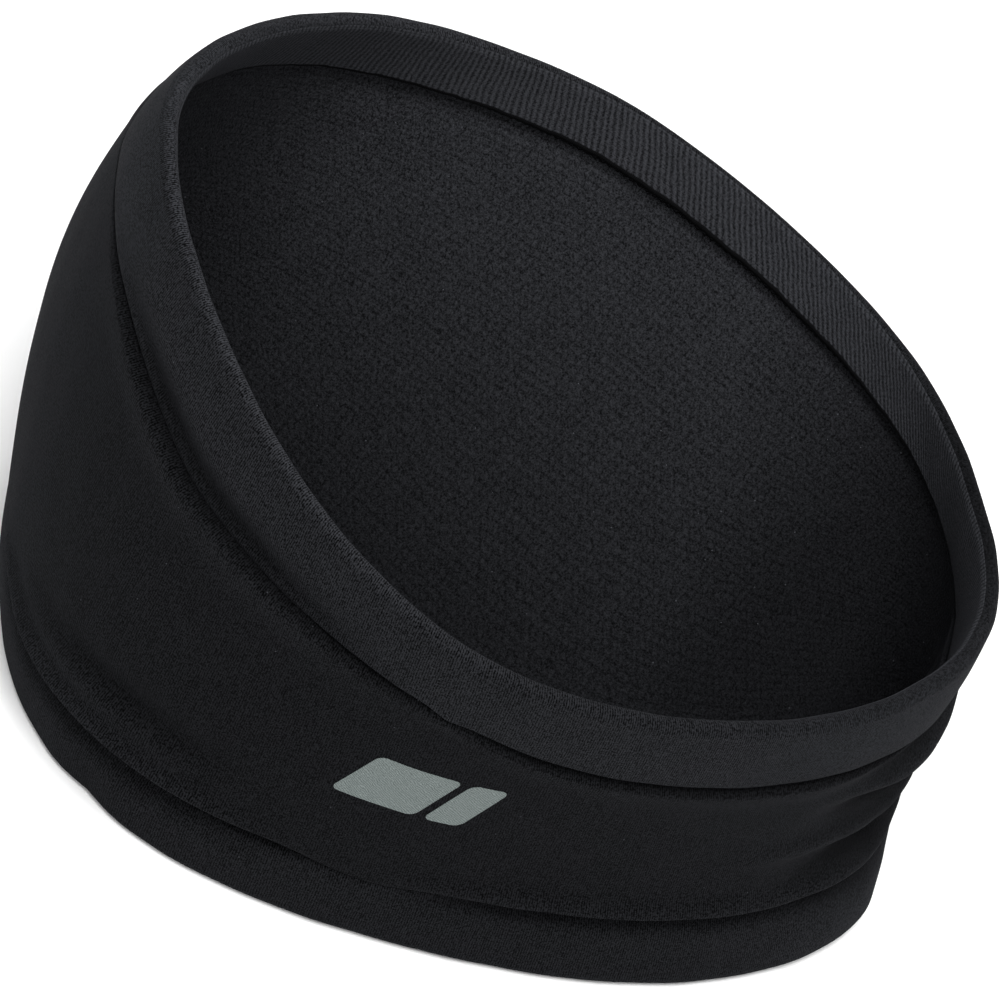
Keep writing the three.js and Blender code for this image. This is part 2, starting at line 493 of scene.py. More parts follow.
def rows(low: Array, high: Array, count: int, crowd: float = 0.0) -> Array:
    """Spaces rows from low to high, crowded towards both ends when crowd is over 0.

    Args:
        low: Where each angle's rows start, a column.
        high: Where they end, a column.
        count: Number of rows.
        crowd: 0 for even rows and 1 for rows spaced as a cosine.

    Returns:
        An array of shape (angles, count).
    """
    share = np.linspace(0, 1, count)[None, :]
    eased = (1 - np.cos(np.pi * share)) / 2
    return low + (high - low) * (share + (eased - share) * crowd)


def arc(
    rise: Array, out: Array, radius: Array, start: float, end: float, count: int
) -> tuple[Array, Array]:
    """Places points on an arc of a section.

    Args:
        rise: The centre's distance up the wall, a column.
        out: The centre's distance out, a column.
        radius: The arc's radius, a column or a number.
        start: Where it starts, in turns from straight out towards straight up.
        end: Where it ends.
        count: Number of points, with both ends left out.

    Returns:
        The points' distances up the wall and out.
    """
    turn = TURN * np.linspace(start, end, count + 2)[None, 1:-1]
    return rise + radius * np.sin(turn), out + radius * np.cos(turn)


# --- The headband's sizes ---

CLOTH_GIRTH = 0.520
PACKED_HEM = 19.2 * MM
LOOKED_AT = np.array([-0.45, -9.31, 44.5]) * MM

UPPER_RIM = Rim(
    half_length=91.5 * MM,
    left_half_width=78.7 * MM,
    right_half_width=78.7 * MM,
    set_forward=6.4 * MM,
    set_aside=-2.2 * MM,
    widening=0.14,
    forehead_squareness=1.62,
    nape_squareness=1.95,
)
LOWER_RIM = Rim(
    half_length=91.4 * MM,
    left_half_width=74.4 * MM,
    right_half_width=24.7 * MM,
    tuck=57.3 * MM,
    tuck_lean=-0.84,
    widening=0.16,
    forehead_squareness=2.5,
    nape_squareness=2.5,
)
UPPER_LINE = SeamLine(
    (
        (8, 18.2), (28, 20.2), (44, 22.6), (58, 20.6), (70, 18.9), (86, 17.2), (97, 19.4),
        (140, 19.8), (160, 20.6), (200, 18.6), (340, 18.2),
    )
)
LOWER_LINE = SeamLine(
    (
        (10, 19.4), (22, 19.4), (36, 16.2), (55, 16.8), (72, 16.0), (84, 14.4), (98, 17.0),
        (145, 17.6), (160, 14.0), (190, 17.0), (340, 18.0),
    )
)

# Each row holds a fold's middle, reach and fade in degrees, then its distance, its widths above and
# below, its depth and at times its slant, in millimetres.
TEMPLE_FOLDS = (
    *folds(
        Edge.UPPER,
        # The hem's lower edge tucks in, and the body rolls out below it.
        (46, 22, 16, -2.6, 4.2, 2.0, -2.6),
        (50, 26, 16, 1.2, 0.7, 4.5, 1.5),
        (50, 32, 12, 0.0, 0.8, 0.5, -1.1),
        # The groove stops short at the pucker and goes on thinner behind it.
        (85.5, 1.5, 2.5, 0.4, 2.4, 2.0, 1.0),
        (126, 36, 6, 0.0, 0.8, 0.6, -1.1),
        (126, 36, 12, 1.4, 0.8, 3.4, 0.9),
    ),
    *folds(
        Edge.LOWER,
        # The body's lower edge hangs over the hem, with a soft roll and a dent above it.
        (46, 21, 12, 1.5, 2.4, 1.0, 2.2),
        (46, 21, 12, -0.9, 1.2, 3.0, -1.6),
        (47, 10, 12, 8.0, 2.6, 3.2, 1.4),
        (50, 10, 14, 12.5, 4.4, 2.8, -1.6),
        (66, 12, 10, 0.0, 1.0, 0.9, -1.3),
        (124, 30, 10, 1.6, 2.6, 1.0, 1.8),
        (124, 30, 10, -0.6, 1.0, 2.2, -1.5),
        # The rim dips in once below the temple.
        (50, 2, 5, -16.0, 9.0, 4.0, -1.3),
    ),
)
RIGHT_FOLDS = (
    *folds(
        Edge.UPPER,
        (318, 26, 20, 3.4, 2.2, 5.0, 0.8),
        (270, 80, 14, 1.5, 1.3, 1.8, 0.9),
        (336, 16, 14, -21.0, 12.0, 18.0, -1.4),
    ),
    *folds(
        Edge.LOWER,
        (310, 22, 16, 1.3, 2.4, 1.0, 0.8),
        (235, 16, 14, 2.0, 3.0, 1.2, 0.8),
    ),
)
# The cloth is pushed together between the hems across the nape.
NAPE_FOLDS = (
    *folds(
        Edge.UPPER,
        (172, 22, 14, 2.6, 1.8, 3.2, -2.8),
        # The rim is drawn in behind the nape.
        (197, 18, 20, -21.0, 14.0, 30.0, -3.2),
    ),
    *folds(
        Edge.LOWER,
        (166, 20, 12, 29.0, 2.8, 2.2, 2.6, 0.02),
        (170, 22, 12, 22.5, 2.2, 2.0, -2.6, -0.03),
        (164, 26, 14, 15.5, 3.0, 2.4, 2.7, 0.03),
        (168, 22, 12, 8.0, 2.2, 2.0, -2.2),
        (168, 24, 14, 2.2, 2.2, 1.0, 1.4),
        (168, 20, 14, -1.8, 1.0, 3.2, -1.8),
        (188, 20, 14, -17.0, 7.0, 5.0, -1.6),
        (152, 12, 12, -13.0, 8.0, 9.0, 1.8),
        (166, 22, 14, 11.0, 15.0, 11.0, -3.2),
    ),
)


@dataclass(frozen=True)
class Cloth:
    """The knit's thickness and the fine sizes of its edges, shared by all the pieces."""

    ply: float = 1.3 * MM
    seam_lap: float = 0.12 * MM
    edge_radius: float = 0.6 * MM
    seam_air: float = 0.75 * MM
    lip_wave: float = 0.28 * MM
    puff: float = 0.5 * MM


# --- Materials ---


class Nodes:
    """A short way to add nodes to a material and join them."""

    def __init__(self, name: str) -> None:
        """Starts a material with a principled shader.

        Args:
            name: The material's name.
        """
        self.material = bpy.data.materials.new(name)
        self.material.use_nodes = True
        self.tree = self.material.node_tree
        self.shader = self.tree.nodes["Principled BSDF"]

    def add(self, kind: str, **settings: object) -> bpy.types.Node:
        """Adds a node of a kind with its settings."""
        node = self.tree.nodes.new(kind)
        for key, value in settings.items():
            setattr(node, key, value)
        return node

    def feed(self, socket: Socket, value: object) -> None:
        """Joins an output to a socket, or sets the socket's own value."""
        if isinstance(value, Socket):
            self.tree.links.new(value, socket)
        else:
            socket.default_value = value

    def math(self, operation: str, a: object, b: object = 0.0, c: object = 0.0) -> Socket:
        """Adds a Math node and returns its value."""
        node = self.add("ShaderNodeMath", operation=operation)
        for socket, value in zip(node.inputs, (a, b, c), strict=False):
            self.feed(socket, value)
        return node.outputs[0]

    def parts(self, vector: Socket) -> tuple[Socket, Socket, Socket]:
        """Takes a vector apart."""
        node = self.add("ShaderNodeSeparateXYZ")
        self.feed(node.inputs[0], vector)
        return node.outputs[0], node.outputs[1], node.outputs[2]

    def cloth_uv(self) -> tuple[Socket, Socket]:
        """Reads the piece's own uv, round the cloth and along its section, in metres."""
        return self.parts(self.add("ShaderNodeUVMap", uv_map="cloth").outputs[0])[:2]

    def noise(self, vector: object, size: float, detail: float = 2.0, rough: float = 0.6) -> Socket:
        """Adds a noise whose largest grains have a size in metres, and returns its value."""
        node = self.add("ShaderNodeTexNoise")
        self.feed(node.inputs["Vector"], vector)
        node.inputs["Scale"].default_value = 1.0 / size
        node.inputs["Detail"].default_value = detail
        node.inputs["Roughness"].default_value = rough
        return node.outputs[0]

    def place(self) -> Socket:
        """Reads Object coordinates."""
        return self.add("ShaderNodeTexCoord").outputs["Object"]

    def spread(self, value: object, low: float, high: float) -> Socket:
        """Stretches a range of the value over 0 to 1 and cuts it off outside."""
        node = self.add("ShaderNodeMapRange")
        self.feed(node.inputs["Value"], value)
        node.inputs["From Min"].default_value = low
        node.inputs["From Max"].default_value = high
        return node.outputs[0]

    def grain(self, vector: object, size: float, detail: float = 2.0, rough: float = 0.6) -> Socket:
        """Adds a noise with the middle of its range spread over 0 to 1."""
        return self.spread(self.noise(vector, size, detail, rough), 0.3, 0.7)

    def wander(self, vector: object, size: float, turns: float, detail: float = 1.0) -> Socket:
        """Adds a slow noise that makes a pattern wander by a number of turns."""
        return self.math("MULTIPLY", self.noise(vector, size, detail), turns)

    def mix(self, share: object, start: object, end: object) -> Socket:
        """Mixes two colours by a share."""
        node = self.add("ShaderNodeMix", data_type="RGBA")
        self.feed(node.inputs["Factor"], share)
        self.feed(node.inputs[6], start)
        self.feed(node.inputs[7], end)
        return node.outputs[2]

    def streaks(self, u: object, v: object, width: float, length: float) -> Socket:
        """Adds a noise drawn out along v, of grains with a width and a length in metres."""
        joined = self.add("ShaderNodeCombineXYZ")
        self.feed(joined.inputs[0], self.math("DIVIDE", u, width))
        self.feed(joined.inputs[1], self.math("DIVIDE", v, length))
        return self.grain(joined.outputs[0], 1.0, 1.0, 0.5)

    def total(self, *parts: tuple[object, float]) -> Socket:
        """Adds up values, each times its weight."""
        result: object = 0.0
        for value, weight in parts:
            result = self.math("MULTIPLY_ADD", value, weight, result)
        return result

    def wave(self, phase: object) -> Socket:
        """Turns a phase in turns into a smooth wave from 0 to 1."""
        sine = self.math("SINE", self.math("MULTIPLY", phase, TURN))
        return self.math("MULTIPLY_ADD", sine, 0.5, 0.5)

    def painted_shade_and_highlight(self, colour: object, strength: float) -> Socket:
        """Paints shade into a colour in the creases and a highlight on the rolls, by the piece's
        attribute.
        """
        painted_light = self.add("ShaderNodeAttribute", attribute_name="painted_light").outputs["Fac"]
        scaled = self.add("ShaderNodeVectorMath", operation="SCALE")
        self.feed(scaled.inputs[0], colour)
        self.feed(scaled.inputs["Scale"], self.math("MULTIPLY_ADD", painted_light, -strength, 1.0))
        return scaled.outputs[0]

    def lint(self, place: object, colour: object, spacing: float, share: float) -> Socket:
        """Scatters pale specks of lint over a colour."""
        cells = self.add("ShaderNodeTexVoronoi", feature="F1")
        self.feed(cells.inputs["Vector"], place)
        cells.inputs["Scale"].default_value = 1 / spacing
        speck = self.math("LESS_THAN", cells.outputs["Distance"], 0.15 * MM / spacing)
        return self.mix(self.math("MULTIPLY", speck, share), colour, grey(0.10))

    def bump(self, height: object, depth: float) -> None:
        """Bumps the shader by a height from 0 to 1 that stands for a depth in metres."""
        node = self.add("ShaderNodeBump")
        node.inputs["Strength"].default_value = 1.0
        node.inputs["Distance"].default_value = depth
        self.feed(node.inputs["Height"], height)
        self.feed(self.shader.inputs["Normal"], node.outputs[0])


def grey(value: float, red: float = -0.035, blue: float = 0.13) -> Colour:
    """A near-neutral colour, with a share more or less red and blue."""
    return (value * (1 + red), value, value * (1 + blue), 1.0)


@dataclass(frozen=True)
class ClothFinish:
    """What the cloth's faces share: a grey that follows a height, uneven wear, and a faint pile."""

    name: str
    tone: float
    contrast: float = 1.0
    fuzz_size: float = 0.40 * MM
    patch_size: float = 7 * MM
    patch_detail: float = 2.0
    patch_share: float = 0.04
    soft_from: float = 0.2
    depth: float = 0.3 * MM
    sheen: float = 0.04

    def dye(self, n: Nodes, place: Socket, height: Socket) -> Socket:
        """Dyes the cloth by its height, with a coarse noise for uneven wear."""
        patch = n.grain(place, self.patch_size, self.patch_detail)
        tone = n.total((height, 1 - self.patch_share), (patch, self.patch_share))
        dark, light = grey(self.tone * (1 - self.contrast)), grey(self.tone * (1 + self.contrast))
        return n.mix(n.spread(tone, self.soft_from, 1 - self.soft_from), dark, light)

    def finished(self, n: Nodes, colour: Socket, height: Socket, shine: tuple[Socket, float]) -> Material:
        """Sets the shader for matt cloth, a little less rough where a value shines by its share."""
        settings = {
            "Base Color": colour,
            "Roughness": n.math("MULTIPLY_ADD", shine[0], -shine[1], 1.0),
            "Specular IOR Level": 0.03,
            "Sheen Weight": self.sheen,
            "Sheen Roughness": 0.6,
            "Sheen Tint": grey(0.5),
        }
        for socket, value in settings.items():
            n.feed(n.shader.inputs[socket], value)
        n.bump(height, self.depth)
        return n.material


@dataclass(frozen=True)
class KnitFinish(ClothFinish):
    """Jersey, as on the headband's outside: fine columns of stitches under a light fuzz."""

    patch_detail: float = 3.0
    soft_from: float = 0.32
    depth: float = 0.12 * MM
    sheen: float = 0.03
    columns: int = 1210
    column_share: float = 0.28
    leg_share: float = 0.22
    leg_width: float = 0.16 * MM
    leg_length: float = 0.55 * MM
    painted_light_strength: float = 0.55
    lint_spacing: float = 5.5 * MM

    def material(self) -> Material:
        """Builds the material.

        The columns are a wave round the head that wanders a little. Streaks along them stand for the
        stitches' legs, a fine grain for the fuzz, and a coarse noise for uneven wear.
        """
        n = Nodes(self.name)
        u, v = n.cloth_uv()
        place = n.place()
        wander = n.wander(place, 4 * MM, 0.9)
        column = n.wave(n.math("ADD", n.math("DIVIDE", u, CLOTH_GIRTH / self.columns), wander))
        streak = n.streaks(u, v, self.leg_width, self.leg_length)
        fuzz = n.grain(place, self.fuzz_size)
        fuzz_share = 1 - self.column_share - self.leg_share
        height = n.total((column, self.column_share), (streak, self.leg_share), (fuzz, fuzz_share))
        # Painted shade in the creases and painted highlight on the rolls and the upper crest.
        colour = n.painted_shade_and_highlight(self.dye(n, place, height), self.painted_light_strength)
        colour = n.lint(place, colour, self.lint_spacing, 0.3)
        return self.finished(n, colour, height, (fuzz, 0.08))


@dataclass(frozen=True)
class RibFinish(ClothFinish):
    """The turned-in face of a hem: ribs across the hem, a little aslant, with soft tops."""

    name: str = "rib_knit"
    tone: float = 0.0225
    contrast: float = 0.75
    fuzz_size: float = 0.42 * MM
    patch_size: float = 9 * MM
    soft_from: float = 0.25
    depth: float = 0.26 * MM
    ribs: int = 416
    slant: float = 0.16
    course: float = 0.62 * MM
    leg_width: float = 0.22 * MM
    leg_length: float = 0.6 * MM

    def material(self) -> Material:
        """Builds the material: a rounded wave round the head that leans along the hem, with fuzz."""
        n = Nodes(self.name)
        u, v = n.cloth_uv()
        place = n.place()
        turn = n.math("DIVIDE", n.math("MULTIPLY_ADD", v, self.slant, u), CLOTH_GIRTH / self.ribs)
        rib = n.wave(n.math("ADD", turn, n.wander(place, 5 * MM, 0.8)))
        course = n.wave(n.math("DIVIDE", v, self.course))
        streak = n.streaks(u, v, self.leg_width, self.leg_length)
        fuzz = n.grain(place, self.fuzz_size)
        height = n.total((rib, 0.32), (streak, 0.20), (fuzz, 0.38), (course, 0.10))
        return self.finished(n, self.dye(n, place, height), height, (rib, 0.06))


@dataclass(frozen=True)
class BrushedFinish(ClothFinish):
    """The body's inside: a brushed pile that keeps the pebbled grid of the loops under it."""

    name: str = "brushed_pile"
    tone: float = 0.0190
    contrast: float = 0.85
    patch_size: float = 12 * MM
    patch_share: float = 0.03
    pebbles: int = 400
    # These set the pile's painted shade: full low down, none high up, and reaching higher past a distance
    # either way from the middle.
    unshaded_from: float = 70 * MM
    fully_shaded_to: float = 5 * MM
    middle_y: float = -8 * MM
    unshaded_reach: float = 44 * MM
    end_shade: float = 1.3
    painted_shade_share: float = 0.36
    course: float = 1.25 * MM
    tuft_size: float = 1.4 * MM
    lint_spacing: float = 4 * MM

    def material(self) -> Material:
        """Builds the material: a staggered grid of soft pebbles under two sizes of noise.

        The pile gets a painted shade low down, and towards the forehead and the nape.
        """
        n = Nodes(self.name)
        u, v = n.cloth_uv()
        place = n.place()
        wander = n.wander(place, 2.2 * MM, 1.1, 2.0)
        line = n.math("ADD", n.math("DIVIDE", v, self.course), wander)
        stagger = n.math("MULTIPLY", n.math("FLOOR", line), 0.5)
        turn = n.math("DIVIDE", u, CLOTH_GIRTH / self.pebbles)
        across = n.math("ADD", n.math("ADD", turn, stagger), wander)
        sides = (n.math("MULTIPLY", n.math("FRACT", way), np.pi) for way in (across, line))
        pebble = n.math("MULTIPLY", *(n.math("SINE", side) for side in sides))
        fuzz = n.grain(place, self.fuzz_size, 2.0, 0.7)
        tuft = n.grain(place, self.tuft_size)
        height = n.total((pebble, 0.18), (fuzz, 0.68), (tuft, 0.14))
        colour = self.dye(n, place, height)
        # Painted shade: the pile is darkened low down and towards both ends.
        _, y, z = n.parts(place)
        off_middle = n.math("ABSOLUTE", n.math("SUBTRACT", y, self.middle_y))
        past = n.math("MAXIMUM", n.math("SUBTRACT", off_middle, self.unshaded_reach), 0.0)
        unshaded = n.math("MULTIPLY_ADD", past, -self.end_shade, z)
        unshaded = n.spread(unshaded, self.fully_shaded_to, self.unshaded_from)
        colour = n.mix(unshaded, n.mix(self.painted_shade_share, grey(0.0), colour), colour)
        colour = n.lint(place, colour, self.lint_spacing, 0.5)
        return self.finished(n, colour, height, (pebble, 0.05))


@dataclass(frozen=True)
class ThreadFinish:
    """Spun polyester sewing thread: a fine twist along its length."""

    # The hems also use this dark material for painted shadow under their lips.
    name: str = "sewing_thread_and_lip_shadow"
    twist: float = 0.5 * MM

    def material(self) -> Material:
        """Builds the material: stripes that wind round the thread."""
        n = Nodes(self.name)
        u, v = n.cloth_uv()
        strand = n.wave(n.math("DIVIDE", n.math("ADD", u, v), self.twist))
        n.feed(n.shader.inputs["Base Color"], n.mix(strand, grey(0.001), grey(0.005)))
        n.feed(n.shader.inputs["Roughness"], n.math("MULTIPLY_ADD", strand, -0.15, 0.85))
        n.shader.inputs["Specular IOR Level"].default_value = 0.05
        n.bump(strand, 0.05 * MM)
        return n.material


@dataclass(frozen=True)
class FilmFinish:
    """Reflective transfer film: satin grey with glass beads, rippled by the stitches under it."""

    name: str = "reflective_transfer"
    dark: Colour = (0.064, 0.080, 0.077, 1.0)
    light: Colour = (0.162, 0.190, 0.183, 1.0)
    ripple_length: float = 0.80 * MM
    bead_size: float = 0.22 * MM
    depth: float = 0.05 * MM

    def material(self) -> Material:
        """Builds the material: fine ripples aslant, and beads as a very fine noise."""
        n = Nodes(self.name)
        u, v = n.cloth_uv()
        place = n.place()
        slanting = n.math("DIVIDE", n.math("MULTIPLY_ADD", v, 1.4, u), self.ripple_length)
        ripple = n.wave(n.math("ADD", slanting, n.wander(place, 1.6 * MM, 2.2, 2.0)))
        bead = n.grain(place, self.bead_size, 2.0, 0.7)
        tone = n.total((bead, 0.5), (ripple, 0.5))
        colour = n.mix(n.spread(tone, 0.15, 0.85), self.dark, self.light)
        n.feed(n.shader.inputs["Base Color"], colour)
        n.feed(n.shader.inputs["Roughness"], n.math("MULTIPLY_ADD", bead, 0.2, 0.5))
        n.shader.inputs["Specular IOR Level"].default_value = 0.3
        n.bump(n.total((bead, 0.2), (ripple, 0.8)), self.depth)
        return n.material


# --- The pieces ---


def dress(piece: Piece, materials: list[Material], nodes: list[str]) -> None:
    """Gives a piece its materials and its place on the frame.

    Args:
        piece: The piece.
        materials: Its materials, in the order of Face.
        nodes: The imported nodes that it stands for.
    """
    for material in materials:
        piece.data.materials.append(material)
    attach(piece, ROOT)
    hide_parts(*nodes)
    log.info("%s: %d faces", piece.name, len(piece.data.polygons))


@dataclass
class Body:
    """The single ply between the two seams."""

    wall: Wall
    cloth: Cloth
    ring: Ring
    outer_rows: int = 62
    inner_rows: int = 40
    edge_points: int = 4

    def build(self) -> Piece:
        """Builds the ply as a closed ring: up the outside, down the inside, and round both edges."""
        c, angle = self.cloth, self.ring.angles()
        half, r = c.ply / 2, c.edge_radius
        low = self.wall.seam(angle, Edge.LOWER) - c.seam_lap
        high = self.wall.seam(angle, Edge.UPPER) + c.seam_lap
        outside = rows(low + r, high - r, self.outer_rows, 0.5)
        inside = rows(high - r, low + r, self.inner_rows, 0.3)
        front, back = 0 * angle + half - r, 0 * angle - half + r
        top = arc(high - r, front, r, 0.0, 0.25, self.edge_points)
        top_in = arc(high - r, back, r, 0.25, 0.5, self.edge_points)
        foot_in = arc(low + r, back, r, 0.5, 0.75, self.edge_points)
        foot = arc(low + r, front, r, 0.75, 1.0, self.edge_points)
        return ring_piece(
            "knit_body",
            self.wall,
            angle,
            [
                Strip(outside, half + 0 * outside, Face.OUTSIDE),
                Strip(*top, Face.OUTSIDE),
                Strip(*top_in, Face.INSIDE),
                Strip(inside, -half + 0 * inside, Face.INSIDE),
                Strip(*foot_in, Face.INSIDE),
                Strip(*foot, Face.OUTSIDE),
            ],
        )


@dataclass
class Hem:
    """One rim's ply, turned inwards and doubled, as a folded ring of cloth."""

    name: str
    wall: Wall
    cloth: Cloth
    ring: Ring
    edge: Edge
    face_rows: int = 26
    hidden_rows: int = 10
    crest_points: int = 12
    shown_crest: int = 9
    under_points: int = 5
    # Rows of the turned-in face next to the lip that are painted dark as shadow.
    lip_shadow_rows: int = 3
    edge_points: int = 4
    face_crowd: float = 0.5
    puff_power: float = 0.8
    clearance: float = 0.01 * MM

    def build(self) -> Piece:
        """Builds the folded ply.

        The section is worked out as a distance back from the rim, and turned into a height up the wall
        at the end. It goes up the shown face of the outer ply, over the crest, down the shown face of
        the inner ply, round its edge, and back between the plies.
        """
        c, angle = self.cloth, self.ring.angles()
        flat = 0 * angle
        ply, r = c.ply, c.ply / 2 - self.clearance
        outer = c.ply / 2
        inner = -c.ply / 2 - c.seam_air - c.ply
        middle = (outer + inner) / 2
        crest = (outer - inner) / 2
        slope = self.wall.slope(angle)
        line = self.wall.upper_line if self.edge is Edge.UPPER else self.wall.lower_line
        depth = line.depth(angle)
        seam = depth + c.seam_lap

        def puff(back: Array) -> Array:
            """Puff of a face at a distance back from the rim: a sine that is 0 at both ends."""
            return c.puff * np.sin(np.pi * np.clip(back / depth, 0, 1)) ** self.puff_power

        shown = rows(flat + seam - r, flat + crest, self.face_rows, self.face_crowd)
        lip = seam - r + c.lip_wave * self.wall.unevenness(3 * angle, flat)
        shown_in = rows(flat + crest, lip, self.face_rows, self.face_crowd)
        hidden_in = rows(lip, flat + crest, self.hidden_rows)
        hidden_out = rows(flat + crest, flat + seam - r, self.hidden_rows)

        def swing(radius: float, start: float, end: float, count: int) -> tuple[Array, Array]:
            """Arc round the crest, as distances back and out."""
            up, out = arc(flat, flat + middle, radius, start, end, count)
            return crest - up, out

        over = Strip(*swing(crest, 0.0, 0.5, self.crest_points), Face.OUTSIDE)
        under = swing(crest - ply, 0.5, 0.0, self.under_points)
        turned_in = Strip(shown_in, inner - puff(shown_in), Face.INSIDE)
        lip_up, lip_out = arc(flat, flat + inner + ply / 2, r, 0.5, 1.0, self.edge_points)
        foot_up, foot_out = arc(flat, flat + outer - ply / 2, r, 0.5, 1.0, self.edge_points)
        strips = [
            Strip(shown, outer + puff(shown), Face.OUTSIDE),
            *over.split(self.shown_crest, Face.OUTSIDE, Face.INSIDE),
            # The last rows of the turned-in face take the dark thread material, as painted shadow under
            # the lip.
            *turned_in.split(-self.lip_shadow_rows, Face.INSIDE, Face.CUT),
            Strip(lip - lip_up, lip_out, Face.CUT),
            Strip(hidden_in, inner + ply - puff(hidden_in), Face.INSIDE),
            Strip(*under, Face.INSIDE),
            Strip(hidden_out, outer - ply + puff(hidden_out), Face.INSIDE),
            Strip(seam - r - foot_up, foot_out, Face.OUTSIDE),
        ]
        if self.edge is Edge.UPPER:
            turned = [Strip(slope - s.rise, s.out, s.face) for s in strips]
        else:
            turned = [Strip(s.rise[:, ::-1], s.out[:, ::-1], s.face) for s in reversed(strips)]
        return ring_piece(self.name, self.wall, angle, turned)


@dataclass
class SeamThread:
    """A row of stitches round the head, as one thread that dives in and comes out at every stitch."""

    name: str
    wall: Wall
    edge: Edge
    distance: float
    out: float
    dive: float
    sway: float
    stitch: float = 2.6 * MM
    radius: float = 0.13 * MM
    steps_per_stitch: int = 8
    sides: int = 6

    def build(self) -> Piece:
        """Builds the thread: a round section carried along a wave in depth and across the seam."""
        count = round(CLOTH_GIRTH / self.stitch)
        angle = Ring(count * self.steps_per_stitch).angles()
        phase = angle * count
        into_body = -self.distance if self.edge is Edge.UPPER else self.distance
        rise = self.wall.seam(angle, self.edge) + into_body + self.sway * np.sin(phase)
        out = self.out + self.dive * np.cos(phase)
        section = TURN * np.arange(self.sides)[None, :] / self.sides
        up, across = self.radius * np.sin(section), self.radius * np.cos(section)
        return ring_piece(self.name, self.wall, angle, [Strip(rise + up, out + across, Face.OUTSIDE)])


@dataclass
class Film:
    """One piece of the reflective film: a slanted bar with rounded corners, pressed on the cloth."""

    name: str
    wall: Wall
    start: float
    end: float
    out: float
    angle: float = 86.0
    rise: float = 42.5 * MM
    height: float = 12.5 * MM
    slant: float = 6.5 * MM
    corner: float = 1.5 * MM
    thickness: float = 0.10 * MM
    columns: int = 90
    lines: int = 70
    crowd: float = 0.8

    def build(self) -> Piece:
        """Builds the bar.

        Each line's half length is cut back near the bar's ends by a quarter circle of the corner's
        radius, which rounds the corners, and each line is moved along by its share of the slant.
        """
        half = np.full((1, 1), self.height / 2)
        up = rows(-half, half, self.lines, self.crowd)
        past = np.clip(np.abs(up) - (self.height / 2 - self.corner), 0, self.corner)
        cut = self.corner - np.sqrt(np.maximum(self.corner**2 - past**2, 0))
        share = np.linspace(-1, 1, self.columns)[:, None]
        centre = (self.start + self.end) / 2
        along = centre + share * ((self.end - self.start) / 2 - cut) + self.slant * up / self.height
        up = np.broadcast_to(up, along.shape)
        angle = np.radians(self.angle) + along / self.girth_radius()
        points = self.wall.place(angle, self.rise + up, self.out + 0 * up)
        i, j = np.meshgrid(np.arange(self.columns - 1), np.arange(self.lines - 1), indexing="ij")
        i, j = i.ravel(), j.ravel()
        corners = [(i, j), (i + 1, j), (i + 1, j + 1), (i, j + 1)]
        quads = np.stack([a * self.lines + b for a, b in corners], -1)
        uvs = np.stack([np.stack([along[a, b], up[a, b]], -1) for a, b in corners], 1)
        points = points.reshape(-1, 3)
        faces, flat = np.zeros(len(quads)), np.zeros(len(points))
        made = new_mesh(self.name, points, quads, uvs, faces, flat)
        thick = made.modifiers.new("thickness", "SOLIDIFY")
        thick.thickness = self.thickness
        thick.offset = 1.0
        return made

    def girth_radius(self) -> float:
        """How many metres the cloth goes on for each radian at the film's middle."""
        angle = np.radians(np.array([self.angle, self.angle + 1.0]))
        a, b = self.wall.middle(angle, np.full(2, self.rise))
        return float(np.linalg.norm(b - a) / np.radians(1.0))


# --- The stage ---


@dataclass
class Studio:
    """The floor, the lights and the camera."""

    target: Point
    azimuth: float = 80.17
    elevation: float = 43.68
    roll: float = 28.93
    distance: float = 0.8333
    lens: float = 154.8
    sensor: float = 36.0
    floor_half: float = 3.0
    floor_grey: float = 0.96
    world_strength: float = 0.66

    def axes(self) -> tuple[Vector, Vector, Vector]:
        """The camera's right, up and backward directions, rolled about its own line of sight."""
        a, e, r = np.radians([self.azimuth, self.elevation, self.roll])
        back = Vector((np.sin(a) * np.cos(e), -np.cos(a) * np.cos(e), np.sin(e)))
        right = Vector((np.cos(a), np.sin(a), 0.0))
        up = back.cross(right)
        return right * np.cos(r) + up * np.sin(r), up * np.cos(r) - right * np.sin(r), back

    def camera(self) -> None:
        """Makes the camera."""
        right, up, back = self.axes()
        data = bpy.data.cameras.new("camera")
        data.lens, data.sensor_width = self.lens, self.sensor
        data.clip_start, data.clip_end = 0.01, 20.0
        made = linked("camera", data)
        place = Matrix((right, up, back)).transposed().to_4x4()
        place.translation = Vector(self.target) + back * self.distance
        made.matrix_world = place
        bpy.context.scene.camera = made

    def floor(self) -> None:
        """Makes the pale floor under the headband."""
        h = self.floor_half
        mesh = bpy.data.meshes.new("floor")
        mesh.from_pydata([(-h, -h, 0), (h, -h, 0), (h, h, 0), (-h, h, 0)], [], [(0, 1, 2, 3)])
        made = linked("floor", mesh)
        n = Nodes("pale_floor")
        n.shader.inputs["Base Color"].default_value = grey(self.floor_grey, 0.0, 0.0)
        n.shader.inputs["Roughness"].default_value = 0.9
        mesh.materials.append(n.material)

    def light(self, name: str, place: Point, side: float, watts: float) -> None:
        """Adds a soft square light, with its side in metres, and turns it to the headband."""
        data = bpy.data.lights.new(name, "AREA")
        data.size, data.energy = side, watts
        aim = Vector(self.target) - Vector(place)
        facing = aim.to_track_quat("-Z", "Y").to_matrix().to_4x4()
        linked(name, data).matrix_world = Matrix.Translation(place) @ facing

    def build(self) -> None:
        """Builds the whole stage."""
        self.camera()
        self.floor()
        self.light("overhead", (0.45, 0.0, 1.6), side=0.9, watts=25.0)
        self.light("front", (1.6, 0.0, 0.9), side=0.8, watts=5.0)
        self.light("rear", (-1.5, 0.2, 0.9), side=1.0, watts=9.0)
        world = bpy.data.worlds.new("studio")
        world.use_nodes = True
        background = world.node_tree.nodes["Background"].inputs
        background["Color"].default_value = grey(1.0, 0.0, 0.0)
        background["Strength"].default_value = self.world_strength
        bpy.context.scene.world = world
        bpy.context.scene.view_settings.view_transform = "Standard"


